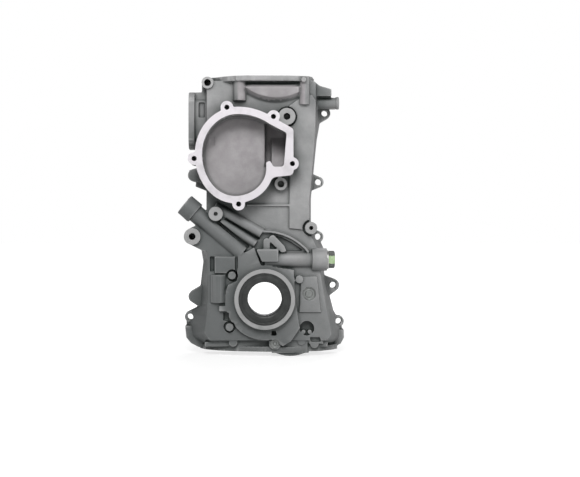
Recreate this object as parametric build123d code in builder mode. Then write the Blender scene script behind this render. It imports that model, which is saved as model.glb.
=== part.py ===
from build123d import *
import os
from math import cos, sin, pi, radians

# Engine oil pump built into a die-cast front cover.
# +Z is up, the front faces -Y, and the crank axis pierces the rear mating face at the origin.
# "ahead" is always a depth counted forward from that rear face.

os.makedirs("parts", exist_ok=True)

# ---------------------------------------------------------------- cover: depths
wall = 4.0
wall_ahead = 38.0
rail_ahead = 9.0
head_z = 221.0
pan_z = -53.0
flange_thick = 5.0
drain_left, drain_right, drain_ahead = -56.0, 58.0, 7.0

# ---------------------------------------------------------------- cover: outlines (X, Z)
rear_outline = [
    (-60, 217), (57, 217), (57, 177), (54, 160), (48, 100), (48, 76), (61, 50), (62, 22), (71.5, -15),
    (80, -30), (81.5, -43), (72, -53), (-62, -53), (-80.5, -43), (-81.5, -17), (-69, -11),
    (-63.5, 35), (-67, 55), (-60, 76),
]
front_outline = [
    (-58, 217), (51, 217), (51, 177), (49.7, 160), (44.5, 98), (44, 68), (53, 48), (55.5, 26), (61.5, -10),
    (65, -26), (66.5, -36), (61, -41.5), (-55, -41.5), (-60, -34), (-58, -18), (-57, -6),
    (-56.5, 40), (-59, 58), (-58, 80),
]
outline_corner = 4.0

# ---------------------------------------------------------------- cover: rear rail bolts and dowels
rail_hole_radius = 3.2
rail_bolts = [(61.5, 187.5), (55, 117), (54.5, 61), (70, 11.5), (75.5, -25.5), (-76, -21)]
dowel_places = [(-72, 124), (-71.5, 0)]
dowel_radius = 4.0
dowel_grip_radius = 4.25
dowel_length = 14.0
dowel_sunk = 7.0
dowel_ear_ahead = 11.0

# ---------------------------------------------------------------- water pump volute
volute_ahead = 58.0
volute_floor = 34.0
volute_rim = 7.0
volute_bolts = [(-37, 188.5), (8.5, 179.5), (27, 133.5), (-25.5, 94), (-69, 138.5)]
volute_ear = 6.2
volute_bolt_deep = 18.0
tapped_m6 = 2.5
duct_left, duct_right, duct_low, duct_high = -4.0, 26.0, 127.0, 196.0
duct_floor = 14.0
duct_roof = 30.0
duct_mouth_high = 181.0
ramp_left, ramp_high, ramp_ahead = 7.0, 162.0, 32.0
port_left, port_right, port_low, port_high = 3.0, 19.0, 176.0, 190.0
port_centre = ((port_left + port_right) / 2, (port_low + port_high) / 2)
port_seal_width = 2.0
port_seal_groove = 1.6
port_seal_thick = 2.2

# ---------------------------------------------------------------- gerotor pump
inner_lobes = 8
outer_lobes = inner_lobes + 1
eccentric = 2.6
lobe_radius = 7.0
lobe_circle = 33.2
lobe_valley = lobe_circle - lobe_radius + 2 * eccentric + 0.1
points_per_lobe = 14
point_crowding = 0.8
mesh_gap = 0.05
rotor_radius = 36.0
rotor_thick = 10.0
side_gap = 0.04
rotor_fit = 0.06
drive_radius = 17.5
drive_slot_reach = 20.0
drive_slot_wide = 8.0
pocket_mouth = 17.0
pocket_floor = pocket_mouth + rotor_thick + 2 * side_gap
pocket_z = -eccentric
pump_block_radius = 46.0
pump_block_ahead = 30.0
pump_front_radius = 40.0
pump_cover_thick = 4.0
pump_screw_circle = 41.5
pump_screw_count = 8
pump_screw_angle = 12.0
pump_cover_radius = 45.0
pump_cover_room = 1.0
suction_way = (20.0, -32.0)
suction_lug = 14.0
screw_radius = 2.4
screw_fit = 0.05
screw_length = 12.0
screw_head_radius = 4.5
screw_head_thick = 2.6
screw_socket = 2.2
screw_socket_deep = 1.5
kidney_radius = 27.5
kidney_width = 7.5
kidney_floor = 33.0
crank_bore = 20.0

# ---------------------------------------------------------------- crank seal
seal_ring_radius = 30.0
seal_ring_ahead = 48.0
seal_radius = 26.0
seal_fit = 0.02
seal_back = 39.0
seal_front = 47.0
seal_jacket = 0.7
seal_case_wall = 0.8
seal_case_hole = 20.6
lip_radius = 16.75
lip_ahead = 42.2
garter_radius = 20.0
garter_wire = 0.9

# ---------------------------------------------------------------- relief valve, along X
relief_z = 39.0
relief_ahead = 36.0
relief_bore = 6.0
relief_seat_x = 3.0
relief_mouth_x = 62.0
valve_length = 18.0
valve_crown = 3.0
valve_hollow = 4.9
valve_fit = 0.03
plug_thread_radius = 7.0
plug_thread_length = 13.0
plug_flats = 15.0
plug_head = 6.2
plug_pocket = 5.0
washer_thick = 1.5
washer_radius = 9.5
spring_radius = 3.9
spring_wire = 1.4
spring_turns = 10
feed_radius = 4.0
return_x = 9.0
return_radius = 2.6

# ---------------------------------------------------------------- oil delivery pipe, running up to the left
pipe_mouth = (-80.0, 94.0)
pipe_end = (-22.0, 45.5)
pipe_ahead = 34.0
pipe_radius = 9.0
pipe_collar_radius = 11.0
pipe_collar_length = 14.0
pipe_bore = 6.5

# ---------------------------------------------------------------- plugs in cast openings
cup_plug_place = (44.2, 5.0)
cup_plug_radius = 6.5
drain_plug_place = (10.2, -45.0)
drain_plug_radius = 4.5
dome_pocket = (42.0, -29.5)
dome_radius = 7.2
cup_plug_thick = 3.0
cup_plug_wall = 1.1
cup_plug_groove = 1.2

# ---------------------------------------------------------------- oil pickup and side ports
pickup_x = 25.0
pickup_ahead = 26.0
pickup_radius = 6.5
pickup_z = -57.5
inlet_x = -76.0
inlet_ahead = 20.0
inlet_z = 178.0
inlet_bolt_span = 46.0
inlet_bolt_deep = 12.0
inlet_duct_x = -49.5
inlet_slot_width = 6.0
inlet_slot_low, inlet_slot_high = 152.0, 163.0
stub_x = 75.0
stub_z = 196.3
stub_ahead = 22.0
stub_bore = 3.5

# ---------------------------------------------------------------- tapped bosses
tapped_m8 = 3.4
tapped_m5 = 2.1
corner_boss = (-56.9, 215.0)
corner_boss_radius = 5.9
corner_boss_ahead = 40.0
corner_boss_deep = 20.0
head_bolts_x = (-25.0, 39.5)
head_bolts_ahead = 38.0
head_bolt_deep = 20.0
pan_bolts = [(-31.5, 24.0), (49.5, 24.0), (-61.0, 6.0), (67.0, 6.0)]
pan_bolt_deep = 12.0
bracket_bosses = [(22.0, 181.0), (16.0, 114.0)]
bracket_ahead = 44.0
bracket_deep = 12.0
pipe_boss = (-48.5, 84.5)
pipe_boss_ahead = 46.0
side_boss = (46.0, 70.5)
side_boss_ahead = 44.0
ear_boss = (-72.0, 62.0)
ear_boss_radius = 8.3
ear_boss_ahead = 42.0
ear_boss_deep = 22.0

# ---------------------------------------------------------------- relief on the front wall
land_high = 2.0
sunk_floor = 34.5
backing = 3.0
backing_margin = 2.0
right_land = [(24.5, 70), (24.5, 192), (34, 199), (47, 203), (50.9, 197), (50.4, 165), (44.6, 98), (44.2, 68)]
upper_left_land = [(-49.6, 25.4), (-49.6, 42), (-29.5, 42), (-29.5, 25.4)]
lower_right_land = [(34.5, -13.2), (36, 22.3), (52, 22.3), (56, -13.2)]
pump_plate = [(-36.5, 14), (-27.5, 18), (-26.5, 42.5), (-10.4, 51), (-3.8, 33.5), (29, 29), (30.5, -1),
              (35, -29), (26, -42), (18, -47), (7, -40.5)]
pump_plate_side = (-28.5, -28.5)
sunk_panels = [
    [(9, 63), (16.5, 61.3), (26, 56.8), (36, 50), (38.5, 47.6), (21.5, 47.6), (19.5, 52.5), (12.5, 60)],
    [(-54.5, 27), (-54.5, 42), (-50.6, 42), (-50.6, 27)],
    [(-41, -22), (-41, -13.5), (-35.5, -13.5), (-35.5, -22)],
    [(46, -43), (45, -38.5), (55, -38.5), (56, -43)],
    [(6.5, -36), (7, -31.5), (11, -31.5), (12, -36.5)],
]
valleys = [((-45.5, 75.5), (-17, 52)), ((-38.5, 79.3), (-6, 60))]
valley_widths = (3.4, 2.4)
ridges = [((-44, 77.3), (-9, 54.8)), ((-50, 91.5), (-3, 65.3))]
ridge_radii = (4.2, 5.4)
ridge_ahead = 38.0
knobs = [(-32.5, 23.3), (-35.0, -28.0)]
knob_radius = 3.9
knob_moat = 5.8
moat_floor = 35.5
bracket_moat = 10.0
side_moat = 8.2
rim_points = [(-2, 67), (22, 62.6), (43.2, 46.9)]
rim_width = 2.2
relief_barrel_radius = 8.0
relief_collar_radius = 11.3
relief_block = [(-2.7, 37), (-8.5, 49.5), (13.5, 49.5), (13.5, 37)]
relief_block_ahead = 45.5
dome_floor = 31.0
dome_posts = [(38.7, -33.0), (44.7, -33.0)]
dome_post_radius = 2.0
inlet_window = [(-66, 181), (-66, 196), (-60, 196), (-60, 181)]
inlet_window_floor = 30.8


def depth(ahead):
    return Plane.XZ.offset(ahead)


def at(x, z, ahead):
    return (x, -ahead, z)


def posts(places, radius, start, stop, mode=Mode.ADD):
    # Round posts, or drilled holes, between two depths.
    with BuildSketch(depth(start)) as rounds:
        with Locations(*places):
            Circle(radius)
    extrude(rounds.sketch, amount=stop - start, mode=mode)


def slab(points, start, stop, mode=Mode.ADD, corner=0):
    # A flat-faced shape between two depths, with rounded corners.
    with BuildSketch(depth(start)) as face:
        with BuildLine():
            Polyline(*points, close=True)
        make_face()
        if corner:
            fillet(face.vertices(), corner)
    extrude(face.sketch, amount=stop - start, mode=mode)


def block(low, high, start, stop, mode=Mode.ADD, corner=0):
    (left, bottom), (right, top) = low, high
    slab([(left, bottom), (right, bottom), (right, top), (left, top)], start, stop, mode, corner)


def bar(start, stop, radius, mode=Mode.ADD):
    # A round bar, or a drilling, from one point to another.
    run = Vector(*stop) - Vector(*start)
    with BuildSketch(Plane(origin=start, z_dir=run)) as ring:
        Circle(radius)
    extrude(ring.sketch, amount=run.length, mode=mode)


def ear(place, radius, roots, stop):
    # A bolt ear on the rear rail, drawn out of the wall between its two roots.
    with BuildSketch(depth(0)) as lug:
        with Locations(place):
            Circle(radius)
        with Locations(*roots):
            Circle(2)
        make_hull()
    extrude(lug.sketch, amount=stop)


def moat(place, island, reach, floor, top):
    # The tool for a ring-shaped hollow that leaves a boss standing.
    with BuildSketch(depth(floor)) as ring:
        with Locations(place):
            Circle(reach)
            Circle(island, mode=Mode.SUBTRACT)
    extrude(ring.sketch, amount=top - floor)


def mitred(points, inset):
    # A clockwise outline drawn in evenly, each corner moved along its mitre.
    moved = []
    for before, corner, after in zip(points[-1:] + points[:-1], points, points[1:] + points[:1]):
        arriving = (Vector(*corner) - Vector(*before)).normalized()
        leaving = (Vector(*after) - Vector(*corner)).normalized()
        inward = Vector(arriving.Y + leaving.Y, -arriving.X - leaving.X)
        shift = inward * (inset / (1 + arriving.dot(leaving)))
        moved.append((corner[0] + shift.X, corner[1] + shift.Y))
    return moved


def shell_outline(points, ahead, inset=0):
    with BuildSketch(depth(ahead)) as face:
        with BuildLine():
            Polyline(*mitred(points, inset), close=True)
        make_face()
        fillet(face.vertices(), outline_corner)
    return face.sketch


def volute_arcs(grow):
    # Three quarter ellipses of the spiral, from the top round the left side to the right.
    EllipticalCenterArc((-26.2, 143), 35.1 + grow, 39 + grow, start_angle=90, arc_size=90)
    EllipticalCenterArc((-29, 143), 32.3 + grow, 41.2 + grow, start_angle=180, arc_size=90)
    return EllipticalCenterArc((-29, 129), 30.5 + grow, 27.2 + grow, start_angle=270,
                               arc_size=75 if grow else 90)


def volute_inside(ahead):
    # The spiral opens past the tongue into the outlet.
    with BuildSketch(depth(ahead)) as face:
        with BuildLine():
            last = volute_arcs(0)
            Polyline(last @ 1, (1.5, 134.5), (5, 136.5), (8.5, 130.5), (18.5, 130.5), (21.5, 163.5),
                     (5.1, 172.1))
            TangentArc((-26.2, 182), (5.1, 172.1), tangent=(1, 0))
        make_face()
        outlet = face.vertices().filter_by_position(Axis.X, 18, 22)
        fillet(outlet, 3)
        tongue = face.vertices().filter_by_position(Axis.X, 4.9, 9)
        fillet(tongue.filter_by_position(Axis.Y, 130, 137), 1.5)
    return face.sketch


def volute_outside(ahead):
    with BuildSketch(depth(ahead)) as face:
        with BuildLine():
            last = volute_arcs(volute_rim)
            Polyline(last @ 1, (28, 122.5), (28, 167.5), (8.3, 178.5))
            TangentArc((-26.2, 182 + volute_rim), (8.3, 178.5), tangent=(1, 0))
        make_face()
        fillet(face.vertices().filter_by_position(Axis.X, 27, 29), 4)
        fillet(face.vertices().filter_by_position(Axis.Y, 115, 122), 6)
        with Locations(*volute_bolts):
            Circle(volute_ear)
    return face.sketch


def port_frame(outset, width):
    # A rounded rectangular frame round the coolant port.
    with Locations(port_centre):
        RectangleRounded(port_right - port_left + 2 * outset, port_high - port_low + 2 * outset, 5)
        RectangleRounded(port_right - port_left + 2 * (outset - width),
                         port_high - port_low + 2 * (outset - width), 5 - width, mode=Mode.SUBTRACT)


def kidney(start_angle, sweep):
    with BuildSketch(depth(pocket_floor)) as port:
        with BuildLine(mode=Mode.PRIVATE) as centre_line:
            CenterArc((0, pocket_z / 2), kidney_radius, start_angle, sweep)
        SlotArc(centre_line.edge(), kidney_width)
    return port.sketch


def screw_places():
    # The pump cover's screws stand on a circle about the outer rotor's axis.
    step = 360 / pump_screw_count
    turns = [radians(pump_screw_angle + number * step) for number in range(pump_screw_count)]
    return [(pump_screw_circle * cos(turn), pocket_z + pump_screw_circle * sin(turn)) for turn in turns]


def pump_cover_face(ahead, grow=0):
    # A disc over the rotors, drawn out over the suction way.
    with BuildSketch(depth(ahead)) as face:
        with Locations((0, pocket_z)):
            Circle(pump_cover_radius + grow)
        with Locations(suction_way):
            Circle(suction_lug + grow)
        make_hull()
    return face.sketch


# ================================================================ the die-cast cover
with BuildPart() as front_cover:
    # Open-backed chain case with sloping sides.
    loft([shell_outline(rear_outline, 0), shell_outline(front_outline, wall_ahead)], ruled=True)
    loft(
        [shell_outline(rear_outline, 0, 6), shell_outline(front_outline, wall_ahead - wall, wall)],
        ruled=True,
        mode=Mode.SUBTRACT,
    )

    # ------------------------------------------------ everything cast on to the case
    with BuildPart():
        # Ears on the rear rail.
        ear(rail_bolts[0], 6, [(55, 196), (55, 179)], rail_ahead)
        ear(rail_bolts[1], 5.6, [(47.5, 124), (47, 110)], rail_ahead)
        ear(rail_bolts[2], 5.8, [(47, 69), (54, 54)], rail_ahead)
        ear(rail_bolts[3], 6.5, [(60, 20), (65, 2)], rail_ahead)
        posts(rail_bolts[4:], 5.8, 0, rail_ahead)
        ear(dowel_places[0], 6.5, [(-58, 132), (-59, 117)], dowel_ear_ahead)
        ear(dowel_places[1], 6.5, [(-65, 9), (-67.5, -8)], dowel_ear_ahead)
        slab([(-57, 119), (-70.5, 116), (-71, 112.5), (-57, 107)], 0, 7)

        # Head face flange along the top, bowed forward between its ends.
        with BuildSketch(Plane.XY.offset(head_z - flange_thick)):
            with BuildLine():
                Polyline((50, -20), (50, 0), (-60, 0), (-60, -26), (-46, -34))
                Spline((-46, -34), (-30, -45), (4, -47), (38, -43), (47, -37))
                Line((47, -37), (50, -20))
            make_face()
        extrude(amount=flange_thick)
        slab([(38, 219), (46, 220.5), (55, 213), (67, 209.5), (67, 202.5), (38, 202.5)], 0, 32)

        # Column and tapped boss at the top left corner.
        block((-63, 200), (-50, 218), 0, 30, corner=3)
        posts([corner_boss], corner_boss_radius, 0, corner_boss_ahead)

        # Tapped bosses under the head face, and the lens-shaped pad between them.
        for boss_x, boss_low, boss_radius in zip(head_bolts_x, (197, 193), (6.5, 5.5)):
            bar((boss_x, -head_bolts_ahead, boss_low), (boss_x, -head_bolts_ahead, head_z), boss_radius)
        with BuildSketch(depth(wall_ahead - 2)):
            with BuildLine():
                Polyline((-27, 217), (-27, 208))
                ThreePointArc((-27, 208), (6, 193.5), (40, 201))
                Polyline((40, 201), (40, 217), (-27, 217))
            make_face()
        extrude(amount=8, taper=40)

        # Coolant inlet flange on the left side.
        with BuildSketch(Plane.YZ.offset(inlet_x)):
            with Locations((-inlet_ahead, inlet_z)):
                RectangleRounded(34, 57, 11)
        extrude(amount=6)
        with BuildSketch(Plane.YZ.offset(inlet_x + 6)):
            with Locations((-inlet_ahead, inlet_z)):
                RectangleRounded(27, 46, 8)
        extrude(amount=12)
        block((inlet_x + 1, 199), (-58, 206.5), 4, 30)

        # Hose stub at the top right.
        bar((50, -stub_ahead, stub_z), (stub_x, -stub_ahead, stub_z), 5.6)
        bar((stub_x - 3, -stub_ahead, stub_z), (stub_x, -stub_ahead, stub_z), 6.4)

        # Water pump volute: walls, floor and the gasket face with five ears.
        extrude(volute_outside(volute_floor - wall), amount=volute_ahead - volute_floor + wall)

        # Inlet duct and outlet duct, inside the chain case.
        block((-59, inlet_slot_low - wall), (inlet_duct_x + wall, inlet_z + 19), inlet_ahead - 12.5,
              volute_floor, corner=3)
        block((duct_left, duct_low), (duct_right, duct_mouth_high), duct_floor - wall, volute_floor, corner=3)
        block((duct_left, duct_low), (duct_right, duct_high), duct_floor - wall, duct_roof, corner=3)
        block((port_left - 6, port_low - 6), (port_right + 6, port_high + 6), 0, duct_floor, corner=5)

        # Pump housing in the lower case, with its front plate and the seal ring.
        posts([(0, pocket_z)], pump_block_radius, pocket_mouth, pump_block_ahead)
        posts([(0, pocket_z)], pump_front_radius, pump_block_ahead, wall_ahead)
        with BuildSketch(depth(wall_ahead - 2)):
            with BuildLine():
                Polyline(*pump_plate)
                ThreePointArc(pump_plate[-1], pump_plate_side, pump_plate[0])
            make_face()
        extrude(amount=6)
        posts([(0, 0)], seal_ring_radius, wall_ahead - 2, seal_ring_ahead)

        # Oil pan flange along the bottom, bowed forward between its ends.
        with BuildSketch(Plane.XY.offset(pan_z)):
            with BuildLine():
                Polyline((74, -14), (74, 0), (-66, 0), (-66, -8))
                Spline((-66, -8), (-32, -27), (4, -31), (52, -28), (74, -14))
            make_face()
        extrude(amount=flange_thick)

        # Pickup boss below the pan face.
        with BuildSketch(depth(pocket_mouth)):
            with BuildLine():
                Polyline((43, -53), (43, -36), (8, -36), (8, -53))
                ThreePointArc((8, -53), (pickup_x, pickup_z), (43, -53))
            make_face()
        extrude(amount=19)

        # Relief valve housing: end block, barrel and collar.
        slab(relief_block, 28, relief_block_ahead, corner=1.2)
        bar(at(0, relief_z, relief_ahead), at(50, relief_z, relief_ahead), relief_barrel_radius)
        collar_start = at(47.2, relief_z, relief_ahead)
        bar(collar_start, at(relief_mouth_x, relief_z, relief_ahead), relief_collar_radius)

        # Delivery pipe with its mouth collar, and two ridges beside it.
        pipe_run = Vector(pipe_end[0] - pipe_mouth[0], 0, pipe_end[1] - pipe_mouth[1]).normalized()
        pipe_start = Vector(*at(*pipe_mouth, pipe_ahead))
        bar(pipe_start, at(*pipe_end, pipe_ahead), pipe_radius)
        bar(pipe_start, pipe_start + pipe_run * pipe_collar_length, pipe_collar_radius)
        for (start, stop), radius in zip(ridges, ridge_radii):
            bar(at(*start, ridge_ahead), at(*stop, ridge_ahead), radius)

        # Accessory bosses on the front.
        posts(bracket_bosses[:1], 8.4, duct_roof, bracket_ahead)
        posts(bracket_bosses[1:], 6.2, duct_roof - 3, bracket_ahead)
        posts([pipe_boss], 7, 34, pipe_boss_ahead)
        posts([side_boss], 6, 0, side_boss_ahead)
        with BuildSketch(depth(20)) as web:
            with Locations(ear_boss):
                Circle(ear_boss_radius)
            with Locations((-60, 74), (-60, 50)):
                Circle(3)
            make_hull()
        extrude(web.sketch, amount=18)
        posts([ear_boss], ear_boss_radius, ear_boss_ahead - ear_boss_deep - 2, ear_boss_ahead)

        # Step, rib and curved rib on the front wall.
        slab(right_land, wall_ahead - 1, wall_ahead + land_high)
        block((-18, 92), (25, 94), wall_ahead - 1, wall_ahead + land_high)
        with BuildSketch(depth(wall_ahead - 3)):
            with BuildLine(mode=Mode.PRIVATE) as rim_line:
                ThreePointArc(*rim_points)
            SlotArc(rim_line.edge(), rim_width)
        extrude(amount=7)

        # Lands and bulges of the lower left and right panels.
        for land in (upper_left_land, lower_right_land):
            slab(land, wall_ahead - 1, wall_ahead + land_high)
        bar((-46.3, -33, 23.8), (-46.3, -33, -4), 9.4)
        block((-45, -12.5), (-30, -6.8), wall_ahead - 2, wall_ahead + 4)
        posts(knobs, knob_radius, sunk_floor - backing, wall_ahead + 4)
        posts([(34.5, 19.5)], 4, wall_ahead - 4, wall_ahead + 4)
        posts([(-31.5, -44), (36.7, -42.4), (49.5, -45.4)], 4.2, 22, wall_ahead - 1)

        # Two rounded webs from the relief barrel up to the ridges.
        for low, high, radius in [((2, 48), (2, 57), 3.3), ((18, 50), (8, 59.5), 3.8)]:
            with BuildSketch(depth(wall_ahead - 3)) as web:
                with Locations(low, high):
                    Circle(radius)
                make_hull()
            extrude(web.sketch, amount=8)

        # Backing behind the panels that are sunk into the wall.
        for panel in sunk_panels:
            slab(mitred(panel, -backing_margin), sunk_floor - backing, wall_ahead - 1)
        for bolt_x, bolt_ahead in pan_bolts:
            bar((bolt_x, -bolt_ahead, pan_z), (bolt_x, -bolt_ahead, pan_z + pan_bolt_deep + 3), 5)
        posts([dome_pocket], dome_radius + 2, dome_floor - backing, wall_ahead)
        posts([drain_plug_place], drain_plug_radius + 1.5, 30, wall_ahead + 1)

    # ------------------------------------------------ everything left open, bored or drilled
    with BuildPart(mode=Mode.SUBTRACT):
        # Chain opening through the top, drain opening through the bottom.
        block((-53, 200), (42, 222), -1, 29, corner=2)
        slab([(38, 222), (38, 210), (46, 210), (46, 204), (49, 204), (49, 222)], -1, 28)
        block((drain_left, pan_z - 1), (drain_right, pan_z + 12), drain_ahead, pocket_mouth + 0.3)

        # Volute chamber and outlet.
        extrude(volute_inside(volute_floor), amount=volute_ahead)
        block((duct_left + wall, duct_low + wall), (duct_right - wall, duct_mouth_high - wall), duct_floor,
              volute_floor)
        block((duct_left + wall, duct_low + wall), (duct_right - wall, duct_high - wall), duct_floor,
              duct_roof - wall)
        block((port_left, port_low), (port_right, port_high), -1, duct_floor + 1, corner=3)
        posts(volute_bolts, tapped_m6, volute_ahead, volute_ahead - volute_bolt_deep)

        # Coolant inlet passage, its slot up into the volute, and its tapped holes.
        with BuildSketch(Plane.YZ.offset(inlet_x)):
            with Locations((-inlet_ahead, inlet_z)):
                RectangleRounded(17, 30, 5)
        extrude(amount=inlet_duct_x - inlet_x)
        block((inlet_duct_x - inlet_slot_width, inlet_slot_low), (inlet_duct_x, inlet_slot_high), inlet_ahead,
              volute_floor + 1)
        inlet_bolts = [(-inlet_ahead, inlet_z + side * inlet_bolt_span / 2) for side in (-1, 1)]
        with BuildSketch(Plane.YZ.offset(inlet_x)):
            with Locations(*inlet_bolts):
                Circle(tapped_m6)
        extrude(amount=inlet_bolt_deep)

        # Room for the pump cover, then the gerotor pocket, its ports, the crank bore and the seal seat.
        extrude(pump_cover_face(drain_ahead, pump_cover_room), amount=pocket_mouth - drain_ahead)
        posts([(0, pocket_z)], rotor_radius + rotor_fit, pocket_mouth - 1, pocket_floor)
        extrude(kidney(-68, 136), amount=kidney_floor - pocket_floor)
        extrude(kidney(112, 136), amount=kidney_floor - pocket_floor)
        posts([(0, 0)], crank_bore, pocket_floor - 1, seal_back)
        posts([(0, 0)], seal_radius + seal_fit, seal_ring_ahead, seal_back)
        posts(screw_places(), screw_radius + screw_fit, pocket_mouth, pocket_mouth + screw_length - 1)

        # Suction way from the pickup to its kidney, and delivery way from the other kidney to the pipe.
        slab([(15, -28), (17, -40), (29, -40), (29, -25), (23, -17)], pocket_mouth, kidney_floor, corner=2)
        bar((pickup_x, -pickup_ahead, pickup_z - 1), (pickup_x, -pickup_ahead, -38), pickup_radius)
        slab([(-30, 12), (-20, 12), (-17, 42), (-27, 48)], pocket_floor + 1, pipe_ahead + 2, corner=2)
        bar(pipe_start - pipe_run, at(*pipe_end, pipe_ahead), pipe_bore)

        # Relief valve bore, its feed and its return to the suction kidney.
        bar(at(relief_seat_x, relief_z, relief_ahead), at(relief_mouth_x + 1, relief_z, relief_ahead),
            relief_bore)
        bar(at(relief_mouth_x - plug_thread_length - 1, relief_z, relief_ahead),
            at(relief_mouth_x + 1, relief_z, relief_ahead), plug_thread_radius + 0.05)
        feed_end = at(relief_seat_x + 1, relief_z, relief_ahead - 1)
        bar(at(-21, relief_z, relief_ahead - 1), feed_end, feed_radius)
        bar(at(return_x, 24, 31), at(return_x, 36, 31), return_radius)

        # Seats of the two cup plugs.
        for place, radius in [(cup_plug_place, cup_plug_radius), (drain_plug_place, drain_plug_radius)]:
            posts([place], radius + seal_fit, wall_ahead + 6, wall_ahead + 1 - cup_plug_thick)

        # Panels sunk into the front wall, the valleys between the ridges, and hollows round the bosses.
        for panel in sunk_panels:
            slab(panel, sunk_floor, wall_ahead + 6)
        for (start, stop), width in zip(valleys, valley_widths):
            with BuildSketch(depth(sunk_floor)) as valley:
                with Locations(start, stop):
                    Circle(width / 2)
                make_hull()
            extrude(valley.sketch, amount=wall_ahead - sunk_floor + 6)
        for knob in knobs:
            moat(knob, knob_radius, knob_moat, moat_floor, wall_ahead + 5)
        moat(bracket_bosses[0], 8.4, bracket_moat, moat_floor + 1, wall_ahead + land_high + 1)
        moat(side_boss, 6, side_moat, moat_floor, side_boss_ahead)
        slab(inlet_window, inlet_window_floor, wall_ahead)
        posts([dome_pocket], dome_radius, dome_floor, wall_ahead + 1)
        posts(dome_posts, dome_post_radius, dome_floor - 1, wall_ahead + 2, Mode.SUBTRACT)

        # Drilled and tapped holes.
        posts(rail_bolts, rail_hole_radius, -1, wall_ahead + 10)
        posts(dowel_places, dowel_grip_radius + seal_fit, -1, dowel_sunk)
        with BuildSketch(depth(-1)) as groove:
            port_frame(port_seal_width * 2, port_seal_width)
        extrude(groove.sketch, amount=1 + port_seal_groove)
        posts(bracket_bosses, tapped_m8, bracket_ahead, bracket_ahead - bracket_deep)
        posts([pipe_boss], tapped_m5, pipe_boss_ahead, pipe_boss_ahead - 5)
        posts([side_boss], tapped_m5, side_boss_ahead, side_boss_ahead - 16)
        posts([ear_boss], tapped_m8, ear_boss_ahead, ear_boss_ahead - ear_boss_deep)
        posts([corner_boss], tapped_m8, corner_boss_ahead, corner_boss_ahead - corner_boss_deep)
        for boss_x in head_bolts_x:
            bar((boss_x, -head_bolts_ahead, head_z + 1), (boss_x, -head_bolts_ahead, head_z - head_bolt_deep),
                tapped_m8)
        for bolt_x, bolt_ahead in pan_bolts:
            bar((bolt_x, -bolt_ahead, pan_z - 1), (bolt_x, -bolt_ahead, pan_z + pan_bolt_deep), tapped_m6)
        bar((stub_x + 1, -stub_ahead, stub_z), (46, -stub_ahead, stub_z), stub_bore)

    # A ramp lifts the outlet's floor towards the tongue.
    with BuildSketch(Plane.YZ.offset(ramp_left)):
        with BuildLine():
            Polyline((-duct_floor, duct_low + wall), (-ramp_ahead, duct_low + wall), (-duct_floor, ramp_high),
                     close=True)
        make_face()
    extrude(amount=duct_right - wall - ramp_left)

front_cover.part.label = "front_cover"
export_step(front_cover.part, "parts/front_cover.step")


# ================================================================ gerotor rotors
def inner_rotor_outline():
    # The inner rotor is the envelope of the outer rotor's round lobes: the path of a lobe's centre,
    # drawn in by the lobe's radius and the running gap. A hollow faces +Z, in mesh with a lobe.
    # The points crowd into the hollows, where the path turns fastest.
    reach = lobe_radius + mesh_gap
    points = []
    for step in range(inner_lobes * points_per_lobe):
        share = step / points_per_lobe
        turn = (2 * pi * share - point_crowding * sin(2 * pi * share)) / inner_lobes
        x = lobe_circle * cos(turn) - eccentric * cos(outer_lobes * turn)
        y = lobe_circle * sin(turn) - eccentric * sin(outer_lobes * turn)
        run_x = -lobe_circle * sin(turn) + eccentric * outer_lobes * sin(outer_lobes * turn)
        run_y = lobe_circle * cos(turn) - eccentric * outer_lobes * cos(outer_lobes * turn)
        size = (run_x**2 + run_y**2) ** 0.5
        x -= reach * run_y / size
        y += reach * run_x / size
        points.append((-y, x))
    return points


with BuildPart() as inner_rotor:
    with BuildSketch(depth(pocket_mouth + side_gap)):
        with BuildLine():
            Spline(*inner_rotor_outline(), periodic=True)
        make_face()
        Circle(drive_radius, mode=Mode.SUBTRACT)
        Rectangle(2 * drive_slot_reach, drive_slot_wide, mode=Mode.SUBTRACT)
    extrude(amount=rotor_thick)
inner_rotor.part.label = "inner_rotor"
export_step(inner_rotor.part, "parts/inner_rotor.step")

with BuildPart() as outer_rotor:
    with BuildSketch(depth(pocket_mouth + side_gap)):
        with Locations((0, pocket_z)):
            Circle(rotor_radius)
        with BuildSketch(mode=Mode.PRIVATE) as star:
            Circle(lobe_valley)
            with PolarLocations(lobe_circle, outer_lobes, start_angle=90):
                Circle(lobe_radius, mode=Mode.SUBTRACT)
            fillet(star.vertices(), 2)
        with Locations((0, pocket_z)):
            add(star.sketch, mode=Mode.SUBTRACT)
    extrude(amount=rotor_thick)
    rims = outer_rotor.edges().filter_by(GeomType.CIRCLE)
    chamfer([rim for rim in rims if rim.radius > rotor_radius - 1], 0.5)
outer_rotor.part.label = "outer_rotor"
export_step(outer_rotor.part, "parts/outer_rotor.step")

# ================================================================ pump cover and its screws
with BuildPart() as pump_cover:
    with BuildSketch(depth(pocket_mouth - pump_cover_thick)):
        add(pump_cover_face(pocket_mouth - pump_cover_thick))
        Circle(crank_bore + 0.5, mode=Mode.SUBTRACT)
        with Locations(*screw_places()):
            Circle(screw_radius + 0.35, mode=Mode.SUBTRACT)
    extrude(amount=pump_cover_thick)
pump_cover.part.label = "pump_cover"
export_step(pump_cover.part, "parts/pump_cover.step")

screw_seat = pocket_mouth - pump_cover_thick
for number, place in enumerate(screw_places(), start=1):
    with BuildPart() as pump_cover_screw:
        posts([place], screw_radius, screw_seat, screw_seat + screw_length)
        posts([place], screw_head_radius, screw_seat - screw_head_thick, screw_seat)
        with BuildSketch(depth(screw_seat - screw_head_thick)):
            with Locations(place):
                RegularPolygon(screw_socket, 6)
        extrude(amount=screw_socket_deep, mode=Mode.SUBTRACT)
    pump_cover_screw.part.label = f"pump_cover_screw_{number}"
    export_step(pump_cover_screw.part, f"parts/pump_cover_screw_{number}.step")


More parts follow.
